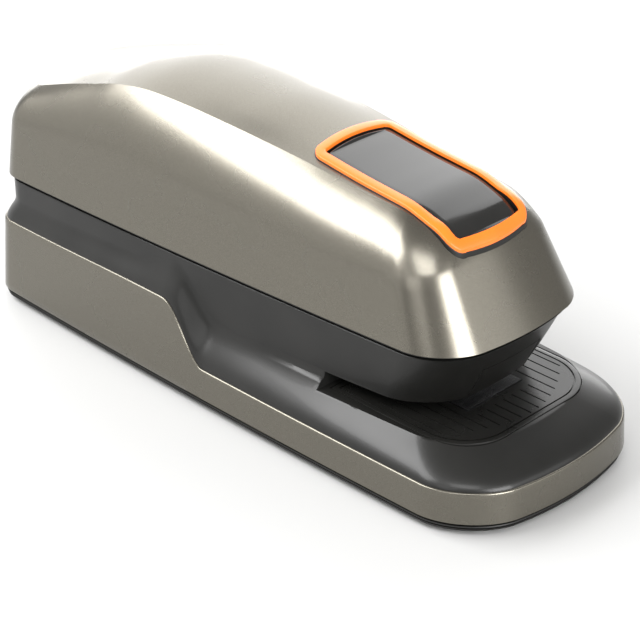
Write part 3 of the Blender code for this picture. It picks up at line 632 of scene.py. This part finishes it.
def build_band():
    """The silver band: an open strip that leans inwards, with a bright chamfer on its top edge."""
    def strip(inset, drop, share):
        ring = []
        for (x, y), (inner_x, inner_y) in zip(base_plan(inset), base_plan(inset + 1.0)):
            rise = (band_top(x) - BAND_Z0 - drop) * share
            lean = BAND_DRAFT * rise
            ring.append((between(x, inner_x, lean), between(y, inner_y, lean), BAND_Z0 + rise))
        return ring

    chamfer = 0.55
    rows = [strip(0.25, 0, 0.0), strip(0.0, 0, 0.02)]
    rows += [strip(0.0, chamfer, k / 10) for k in range(1, 11)]
    rows += [strip(0.2 * chamfer, 0.35 * chamfer, 1.0), strip(0.6 * chamfer, 0.08 * chamfer, 1.0),
             strip(chamfer, 0.0, 1.0), strip(BAND_WALL, 0.0, 1.0)]
    rows += [strip(BAND_WALL, 0.0, k / 4) for k in range(3, -1, -1)]
    band = make_object("band_shell", skin(rows, capped=False), "silver_paint", 40)
    cut(band, inlet_hole(-100))
    return add_piece(band, "root", "silver_paint", "side_band")


@functools.lru_cache(maxsize=None)
def nose_plan(share, inset):
    """The black wall's outline above the throat: share runs from the deck's height to the seam's."""
    low_w = 25.2
    front_x = NOSE_X + (SEAM_FRONT_X - 1.6 - NOSE_X) * share ** 0.8
    front_w = low_w + (SEAM_FRONT_W - 1.2 - low_w) * share
    return plan(SEAM_REAR_X + 1.4 + inset, front_x - inset, SEAM_REAR_W - 1.4 - inset,
                front_w - inset, SEAM_BOW * share + 4.0 * (1 - share), 8.0, 14.0 - 0.5 * inset, 4.5)


def deck_plan(inset):
    """The black wall's outline below the throat."""
    return plan(SEAM_REAR_X + 1.4 + inset, DECK_FRONT_X - 7.0 - inset, SEAM_REAR_W - 1.4 - inset,
                DECK_W - 6.5 - inset, 4.0, 8.0, 14.0 - 0.5 * inset, 4.5)


RIB_BELOW_SEAM = 2.3


def body_rings(inset, levels, base_z, cap_profile):
    """Rings of the black body: behind the band, over the shoulder, and up the wall to the seam."""
    reference = base_plan(0.0)
    count = len(reference)
    deck = deck_plan(inset)
    behind = (base_plan(BAND_WALL + 0.5 + inset), base_plan(BAND_WALL + 1.5 + inset))
    flush = (base_plan(0.5 + inset), base_plan(1.5 + inset))

    def leaning(i, z, pair):
        lean = BAND_DRAFT * (z - BAND_Z0)
        return between(pair[0][i][0], pair[1][i][0], lean), between(pair[0][i][1], pair[1][i][1], lean)

    rings = [[(*leaning(i, BAND_Z0, behind), base_z) for i in range(count)]]
    for drop, pair in ((0.8, behind), (0.5, flush)):
        heights = [band_top(x) - drop for x, _ in reference]
        rings.append([(*leaning(i, z, pair), z) for i, z in enumerate(heights)])
    for k in range(levels + 1):
        ring = []
        for i, (x_ref, _) in enumerate(reference):
            low = band_top(x_ref) - 0.25
            high = SEAM_Z - RIB_BELOW_SEAM + SEAM_RISE * x_ref
            z = between(low, high, k / levels)
            nose = nose_plan(min(max((z - DECK_Z) / (SEAM_Z - DECK_Z), 0.0), 1.0), inset)[i]
            blend = between(smooth_step((z - 15.0) / (THROAT_TOP_Z - 15.0)), float(z > 25.0),
                            smooth_step((x_ref - 14.0) / (THROAT_X - 14.0)))
            wall = between(deck[i][0], nose[0], blend), between(deck[i][1], nose[1], blend)
            rise = 14.0 - 6.0 * smooth_step((-x_ref - 10) / 30)
            share = 1 - smooth_step((z - band_top(x_ref) + 0.5) / rise)
            outer = leaning(i, z, flush)
            ring.append((between(wall[0], outer[0], share), between(wall[1], outer[1], share), z))
        rings.append(ring)
    for rise, step_in in cap_profile:
        rings.append([(x, y, SEAM_Z - RIB_BELOW_SEAM + SEAM_RISE * x + rise)
                      for x, y in nose_plan(1.0, inset + step_in)])
    return rings


SEAM_GROOVES = ((0.2, 0.0), (0.3, 0.12), (0.35, 0.9), (0.8, 0.9), (0.85, 0.25), (0.95, 0.12),
                (1.35, 0.12), (1.45, 0.25), (1.5, 1.5), (3.4, 1.5))


def body_void():
    """The hollow inside the black body, which leaves the deck, the nose floor and the walls."""
    void = make_object("void_tool", skin(body_rings(2.2, 14, 3.0, ((0.0, 0.0), (14.0, 0.0)))))
    cut(void, box(38.0, 130, -60, 60, DECK_Z - 2.4, THROAT_TOP_Z + 2.2))
    return void


def body_solid(name):
    return make_object(name, skin(body_rings(0.0, 56, BAND_Z0, SEAM_GROOVES)), "black_body", 30)


def deck_outline(inset):
    half, front, rear = DECK_W - 2.0 - inset, DECK_FRONT_X - 2.0 - inset, THROAT_X + 2.0 + inset
    radius = 17.0 - inset
    points = [(rear, half)] + corner_arc((front - radius, half), (front, half),
                                         (front, half - radius), 14)
    return points + [(x, -y) for x, y in reversed(points)]


def build_body():
    body = body_solid("body_shell")
    cut_with(body, body_void())
    cut(body, box(THROAT_X, 130, -60, 60, DECK_Z, THROAT_TOP_Z))
    cut(body, box(BLADE_X + 1.2, 120, -12.4, 12.4, 27.0, 38.6))
    soften(body, 0.5, 2, 45)
    cut(body, prism(deck_outline(-0.3), DECK_Z - 1.5, DECK_Z + 1.0))
    cut(body, box(70.9, 74.0, -8.4, 8.4, 26.0, 32.0))
    cut(body, box(42.0, 54.0, 12.6, 15.4, 25.0, 32.0))
    cut(body, inlet_hole(-95))
    settle(body, 32)
    return add_piece(body, "root", "black_body", "body_housing")


def build_magazine_nose():
    nose = body_solid("magazine_front")
    keep = box(BLADE_X + 1.6, 120, -12.1, 12.1, 27.7, 38.3)
    cut(nose, keep, "INTERSECT")
    soften(nose, 0.35, 2, 45)
    return add_piece(nose, "magazine", "black_body", "magazine_nose")


def build_pan():
    """The underside pan: a rolled lip below the band, with a thin groove above a bead."""
    profile = [(3.4, 1.5), (1.6, 1.7), (0.9, 2.1), (0.75, 2.7), (1.3, 2.85), (1.3, 3.05), (0.7, 3.15),
               (0.55, 3.35), (0.7, 3.6), (1.5, 3.7), (1.5, 4.2)]
    pan = make_object("underside_pan", skin([[(x, y, z) for x, y in base_plan(inset)]
                                              for inset, z in profile]), "black_base", 35)
    for spot in SCREW_NODES:
        low, high = node_box(spot)
        centre = (low + high) / 2
        hole = [(2.9, 1.0), (2.9, 3.3), (1.6, 3.3), (1.6, 6.0)]
        cut(pan, skin([[(x, y, z) for x, y in circle(centre.x, centre.y, r, 32)] for r, z in hole]))
    return add_piece(pan, "root", "black_base", "bottom_pan")


CORNERS = ("front_left", "front_right", "rear_left", "rear_right")
SCREW_NODES = tuple(f"pan_screw_{corner}" for corner in CORNERS)


def build_feet_and_screws():
    for corner in CORNERS:
        low, high = node_box(f"foot_{corner}")
        centre, radius = (low + high) / 2, (high.x - low.x) / 2
        profile = [(0.0, high.z), (radius, high.z), (radius, 0.35), (radius - 0.1, 0.12),
                   (radius - 0.35, 0.0), (radius - 1.6, 0.0), (radius - 1.8, 0.2), (0.0, 0.25)]
        bm = skin([[(x, y, z) for x, y in circle(centre.x, centre.y, max(r, 0.02), 40)]
                   for r, z in profile])
        add_piece(make_object(f"foot_pad_{corner}", bm, "rubber_foot"), "root", "rubber_foot",
                  f"foot_{corner}")
        low, high = node_box(f"pan_screw_{corner}")
        centre = (low + high) / 2
        head = [(2.35, 1.8), (2.6, 2.0), (2.6, 3.0), (1.3, 3.0), (1.3, 11.6), (0.9, 12.0)]
        screw = make_object(f"screw_{corner}", skin([[(x, y, z) for x, y in
                            circle(centre.x, centre.y, r, 32)] for r, z in head]), "steel_bright")
        cut(screw, box(centre.x - 1.5, centre.x + 1.5, centre.y - 0.3, centre.y + 0.3, 1.0, 2.6))
        cut(screw, box(centre.x - 0.3, centre.x + 0.3, centre.y - 1.5, centre.y + 1.5, 1.0, 2.6))
        add_piece(screw, "root", "steel_bright", f"pan_screw_{corner}")


# ---- Deck, anvil and the staples -----------------------------------------------------------------
RIB_PITCH = 3.75


def build_deck():
    """The paper deck: a shallow rim groove and fine grooves along X."""
    deck = make_object("ribbed_deck", prism(deck_outline(0.0), DECK_Z - 1.2, DECK_Z), "black_deck", 30)
    soften(deck, 0.25, 2, 45)
    groove = prism(deck_outline(1.6), DECK_Z - 0.45, DECK_Z + 1.0)
    island = make_object("island_tool", groove)
    cut(island, prism(deck_outline(2.15), DECK_Z - 1.0, DECK_Z + 2.0))
    cut_with(deck, island)
    cut(deck, box(64.7, 79.3, -12.3, 12.3, 20, 24))
    front = DECK_FRONT_X - 5.6
    for k in range(-7, 8):
        y = k * RIB_PITCH
        reach = front - 0.0155 * y * y + 0.8
        rear = 82.0 if abs(y) < 14 else 58.0
        cut(deck, box(rear, reach, y - 0.26, y + 0.26, DECK_Z - 0.42, DECK_Z + 1))
    return add_piece(deck, "root", "black_deck", "deck_plate")


def build_anvil():
    low, high = node_box("anvil")
    anvil = make_object("staple_anvil", box(low.x, high.x, low.y, high.y, low.z, high.z),
                        "steel_bright", 30)
    for side in (1, -1):
        for inner in (1.5, 5.2):
            y0, y1 = sorted((side * inner, side * (inner + 2.9)))
            cut(anvil, box(BLADE_X - 0.9, BLADE_X + 1.3, y0, y1, high.z - 0.7, 24))
    return add_piece(anvil, "root", "steel_bright", "anvil")


WIRE, WIRE_PITCH = 0.52, 0.56


def build_staples():
    """The strip of staples: separate bent wires, side by side, glued into a strip."""
    low, high = node_box("staple_strip")
    bm = bmesh.new()
    corner = 0.5
    half, top = high.y, high.z
    path = [(-half + WIRE / 2, low.z), (-half + WIRE / 2, top - WIRE / 2 - corner),
            (-half + WIRE / 2 + 0.3 * corner, top - WIRE / 2 - 0.3 * corner),
            (-half + WIRE / 2 + corner, top - WIRE / 2)]
    path += [(-y, z) for y, z in reversed(path)]
    count = int((high.x - low.x) / WIRE_PITCH)
    for n in range(count):
        x = low.x + WIRE / 2 + n * WIRE_PITCH
        rows = []
        for k, (y, z) in enumerate(path):
            a, b = path[max(k - 1, 0)], path[min(k + 1, len(path) - 1)]
            along_path = Vector((0, b[0] - a[0], b[1] - a[1])).normalized()
            side = Vector((0, -along_path.z, along_path.y))
            rows.append([bm.verts.new(Vector((x, y, z)) + Vector((WIRE / 2 * math.cos(t), 0, 0))
                                      + side * WIRE / 2 * math.sin(t))
                         for t in [2 * math.pi * s / 6 for s in range(6)]])
        for one, two in zip(rows, rows[1:]):
            quads(bm, one, two)
        bm.faces.new(reversed(rows[0]))
        bm.faces.new(rows[-1])
    return add_piece(make_object("staples", bm, "staple_wire", 50), "magazine", "staple_wire",
                     "staple_strip")


def build_inlet():
    """The power socket: a stepped black barrel with a bright centre pin."""
    low, high = node_box("dc_inlet")
    profile = [(4.6, high.x), (4.6, low.x + 0.3), (4.3, low.x), (3.4, low.x), (3.2, low.x + 0.5),
               (2.8, low.x + 0.5), (2.8, high.x - 3.0)]
    barrel = make_object("socket_barrel", skin([[(x, y, z) for y, z in circle(0, INLET_Z, r, 40)]
                                                 for r, x in profile]), "black_base")
    add_piece(barrel, "root", "black_base", "dc_inlet")
    pin = [(0.9, high.x - 3.2), (0.9, low.x + 2.2), (0.75, low.x + 1.8), (0.3, low.x + 1.6)]
    add_piece(make_object("socket_pin", skin([[(x, y, z) for y, z in circle(0, INLET_Z, r, 20)]
                                               for r, x in pin]), "steel_bright"),
              "root", "steel_bright")


# ---- What is carried over from the CAD frame -----------------------------------------------------
def finish_cad_nodes():
    """Every CAD node that stays on show takes the procedural material of its slot."""
    slots = {part["node"]: part["material_slot"] for part in frame["record"]["subparts"]}
    for node, obj in frame["nodes"].items():
        obj.data.materials.clear()
        obj.data.materials.append(MATERIALS[slots[node]])


# ---- Floor, light and camera ---------------------------------------------------------------------
def build_stage():
    mesh = bpy.data.meshes.new("floor")
    size = 6.0
    mesh.from_pydata([(-size, -size, 0), (size, -size, 0), (size, size, 0), (-size, size, 0)], [],
                     [(0, 1, 2, 3)])
    floor = bpy.data.objects.new("floor", mesh)
    bpy.context.scene.collection.objects.link(floor)
    mat = bpy.data.materials.new("floor_white")
    mat.use_nodes = True
    shader = mat.node_tree.nodes["Principled BSDF"]
    shader.inputs["Base Color"].default_value = (0.43, 0.43, 0.428, 1)
    shader.inputs["Roughness"].default_value = 0.55
    shader.inputs["Specular IOR Level"].default_value = 0.2
    mesh.materials.append(mat)


def softbox(name, azimuth, elevation, distance, size, radiance):
    """A rectangular light that faces the stapler, placed by its direction in degrees."""
    turn, lift = math.radians(azimuth), math.radians(elevation)
    aim = Vector((0, 0, 0.05))
    place = aim + distance * Vector((math.cos(lift) * math.cos(turn), math.cos(lift) * math.sin(turn),
                                     math.sin(lift)))
    data = bpy.data.lights.new(name, "AREA")
    data.shape = "RECTANGLE"
    data.size, data.size_y = size
    data.energy = radiance * math.pi * size[0] * size[1]
    light = bpy.data.objects.new(name, data)
    light.location = place
    light.rotation_euler = (aim - place).to_track_quat("-Z", "Y").to_euler()
    bpy.context.scene.collection.objects.link(light)


def build_light():
    world = bpy.data.worlds.new("studio")
    bpy.context.scene.world = world
    world.use_nodes = True
    background = world.node_tree.nodes["Background"]
    background.inputs["Color"].default_value = (1.0, 0.99, 0.97, 1)
    background.inputs["Strength"].default_value = 0.55
    softbox("rear_softbox", 224, 45, 1.3, (1.4, 0.56), 12.0)
    softbox("side_fill", 226, 12, 1.5, (2.4, 1.0), 0.8)
    softbox("high_backdrop", 133, 35, 1.6, (2.0, 1.2), 2.6)
    softbox("low_backdrop", 133, 4, 1.6, (2.0, 0.42), 4.6)
    softbox("front_strip", -9, 22, 1.25, (0.62, 0.6), 13.0)
    softbox("front_fill", 27, 18, 1.3, (0.62, 0.5), 1.75)
    softbox("side_strip", -72, 24, 1.3, (0.55, 0.5), 2.2)
    softbox("corner_strip", -50, 50, 1.3, (0.60, 0.36), 8.0)


def build_camera():
    """The photographer's standpoint: in front of the nose, to the stapler's right and above it."""
    data = bpy.data.cameras.new("camera")
    data.lens, data.sensor_width = 114.1, 36.0
    data.clip_start = 0.01
    camera = bpy.data.objects.new("camera", data)
    stand, aim = Vector((0.3931, -0.3900, 0.3277)), Vector((0.00656, 0.0, 0.01942))
    camera.location = stand
    camera.rotation_euler = (aim - stand).to_track_quat("-Z", "Y").to_euler()
    bpy.context.scene.collection.objects.link(camera)
    bpy.context.scene.camera = camera


def build():
    finish_cad_nodes()
    build_cover()
    build_ring()
    build_button()
    build_band()
    build_body()
    build_magazine_nose()
    build_pan()
    build_feet_and_screws()
    build_deck()
    build_anvil()
    build_staples()
    build_inlet()
    build_stage()
    build_light()
    build_camera()
    bpy.context.scene.view_settings.view_transform = "Standard"


build()
